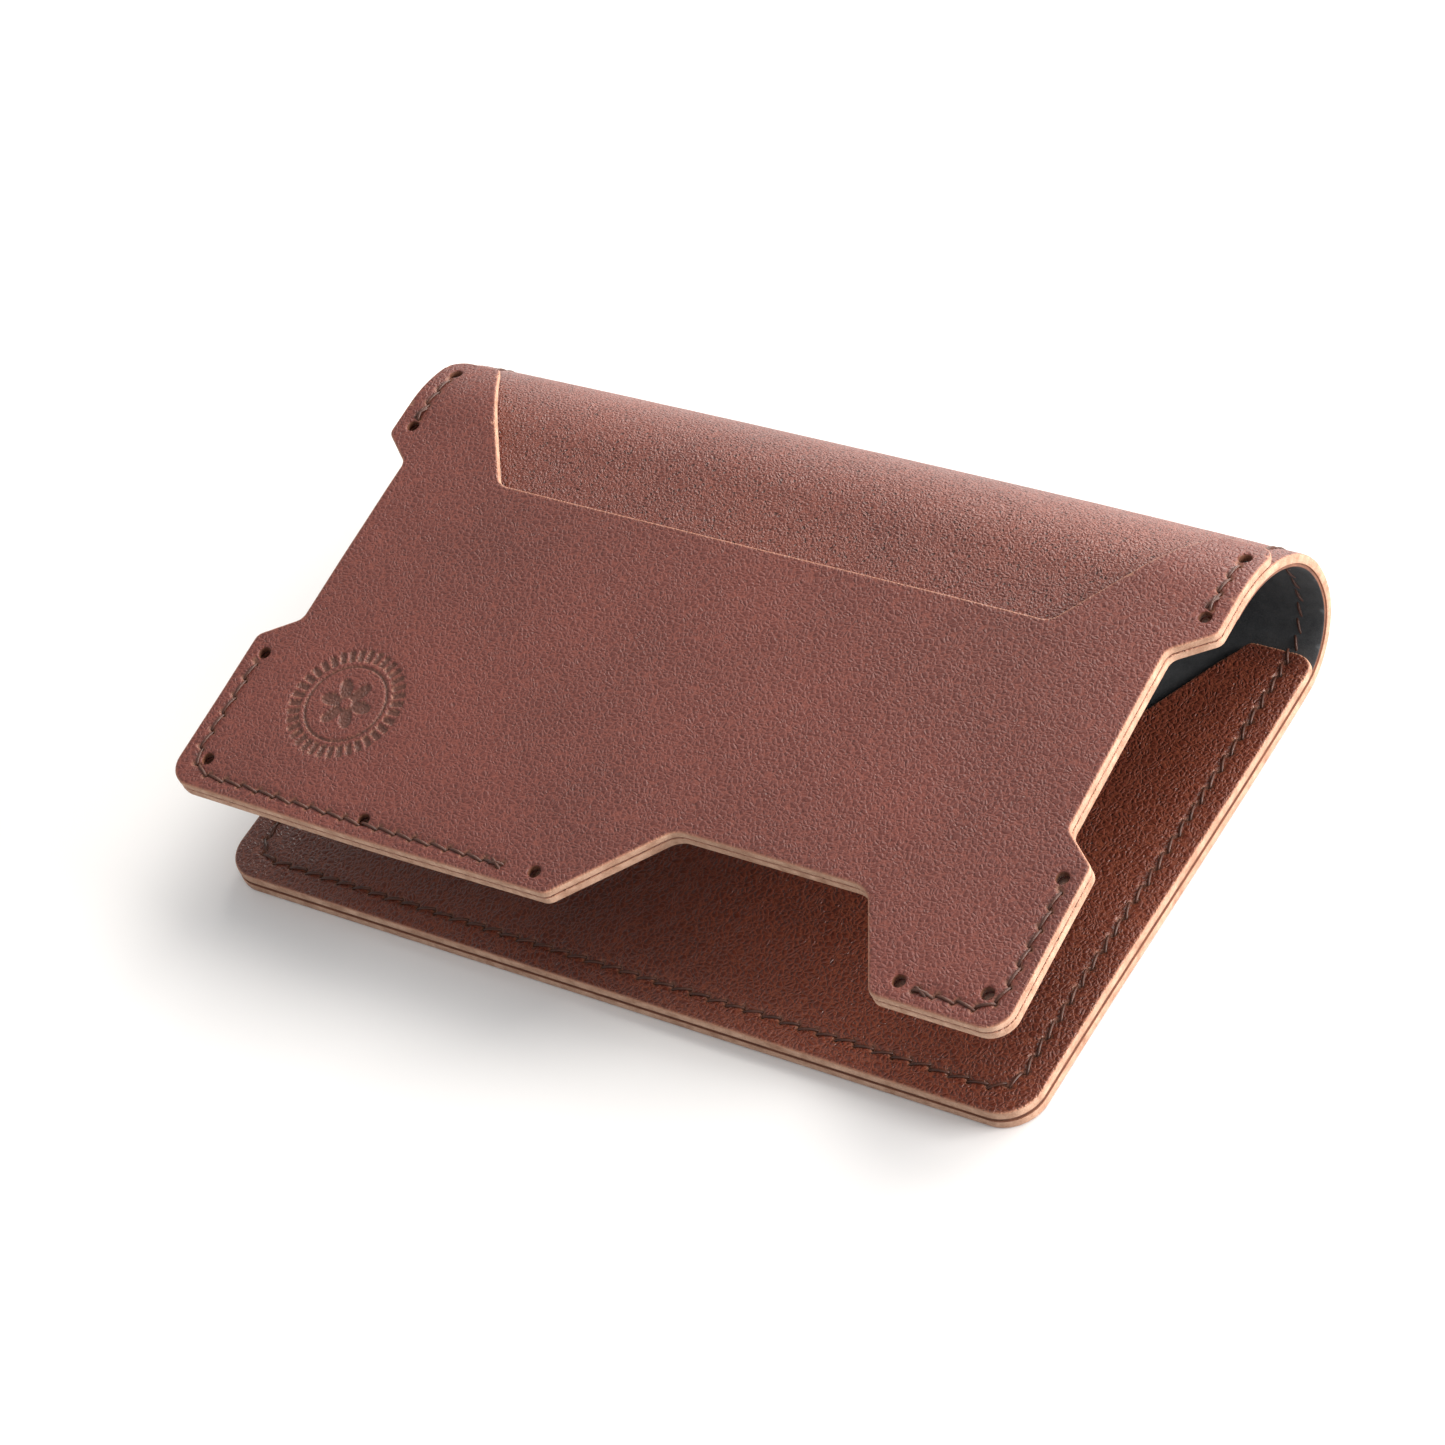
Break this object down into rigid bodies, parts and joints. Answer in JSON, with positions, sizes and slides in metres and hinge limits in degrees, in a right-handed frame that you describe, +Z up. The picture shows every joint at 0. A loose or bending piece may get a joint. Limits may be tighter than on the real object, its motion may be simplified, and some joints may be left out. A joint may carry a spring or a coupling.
{
  "type": "card holder",
  "caption": "Bifold leather card holder lying half open: cover bent round a soft spine, a sewn pocket with a card window on each panel, notched front panel.",
  "frame": {"origin": "middle of the footprint, on the surface that the rear panel lies on", "axes": "+X along the spine, +Y from the free edges to the spine, +Z up"},
  "size_m": [0.108, 0.0708, 0.0244],
  "materials": {
    "cover_leather": "vegetable-tanned cowhide, reddish brown, fine pebbled grain, raw tan cut edges",
    "front_pocket_leather": "vegetable-tanned cowhide, reddish brown, fine pebbled grain, raw tan cut edges",
    "rear_pocket_leather": "vegetable-tanned cowhide, darker warm brown, glossier grain, raw tan cut edges",
    "lining": "thin dark grey bonded lining",
    "thread": "waxed dark brown linen thread"
  },
  "bodies": {
    "rear_panel": {"rear_cover": "cover_leather", "rear_lining": "lining", "rear_pocket": "rear_pocket_leather", "rear_seam": "thread"},
    "spine_strip_5": {"spine_cover_5": "cover_leather", "spine_lining_5": "lining", "spine_seam_5": "thread"},
    "spine_strip_4": {"spine_cover_4": "cover_leather", "spine_lining_4": "lining", "spine_seam_4": "thread"},
    "spine_strip_3": {"spine_cover_3": "cover_leather", "spine_lining_3": "lining", "spine_seam_3": "thread"},
    "spine_strip_2": {"spine_cover_2": "cover_leather", "spine_lining_2": "lining", "spine_seam_2": "thread"},
    "spine_strip_1": {"spine_cover_1": "cover_leather", "spine_lining_1": "lining", "spine_seam_1": "thread", "ear_tip_left": "front_pocket_leather", "ear_tip_right": "front_pocket_leather"},
    "front_panel": {"front_cover": "cover_leather", "front_lining": "lining", "front_pocket": "front_pocket_leather", "front_seam_left_side": "thread", "front_seam_right_side": "thread", "ear_seam_left": "thread", "ear_seam_right": "thread"}
  },
  "joints": [
    {"name": "spine_fold_1", "type": "hinge", "parent": "rear_panel", "child": "spine_strip_5", "pos_m": [0, 0.02987, 0.00051], "axis": [-1, 0, 0], "range_deg": [-2, 36.5], "stiffness_Nm_per_rad": 0.12, "springref_deg": 1.82},
    {"name": "spine_fold_2", "type": "hinge", "parent": "spine_strip_5", "child": "spine_strip_4", "pos_m": [0, 0.03388, 0.00358], "axis": [-1, 0, 0], "range_deg": [-2.17, 34.37], "stiffness_Nm_per_rad": 0.12, "springref_deg": 2.09},
    {"name": "spine_fold_3", "type": "hinge", "parent": "spine_strip_4", "child": "spine_strip_3", "pos_m": [0, 0.0354, 0.0084], "axis": [-1, 0, 0], "range_deg": [-1.96, 30.64], "stiffness_Nm_per_rad": 0.12, "springref_deg": 2.18},
    {"name": "spine_fold_4", "type": "hinge", "parent": "spine_strip_3", "child": "spine_strip_2", "pos_m": [0, 0.03378, 0.01506], "axis": [-1, 0, 0], "range_deg": [-1.76, 26.9], "stiffness_Nm_per_rad": 0.12, "springref_deg": 2.08},
    {"name": "spine_fold_5", "type": "hinge", "parent": "spine_strip_2", "child": "spine_strip_1", "pos_m": [0, 0.02929, 0.02023], "axis": [-1, 0, 0], "range_deg": [-1.76, 26.9], "stiffness_Nm_per_rad": 0.12, "springref_deg": 1.82},
    {"name": "spine_fold_6", "type": "hinge", "parent": "spine_strip_1", "child": "front_panel", "pos_m": [0, 0.02307, 0.02385], "axis": [-1, 0, 0], "range_deg": [-1.81, 27.91], "stiffness_Nm_per_rad": 0.12, "springref_deg": 1.5}
  ],
  "couplings": [
    {"joint": "spine_fold_2", "follows": "spine_fold_1", "ratio": 0.93333},
    {"joint": "spine_fold_3", "follows": "spine_fold_1", "ratio": 0.83111},
    {"joint": "spine_fold_4", "follows": "spine_fold_1", "ratio": 0.72889},
    {"joint": "spine_fold_5", "follows": "spine_fold_1", "ratio": 0.72889},
    {"joint": "spine_fold_6", "follows": "spine_fold_1", "ratio": 0.75644}
  ]
}
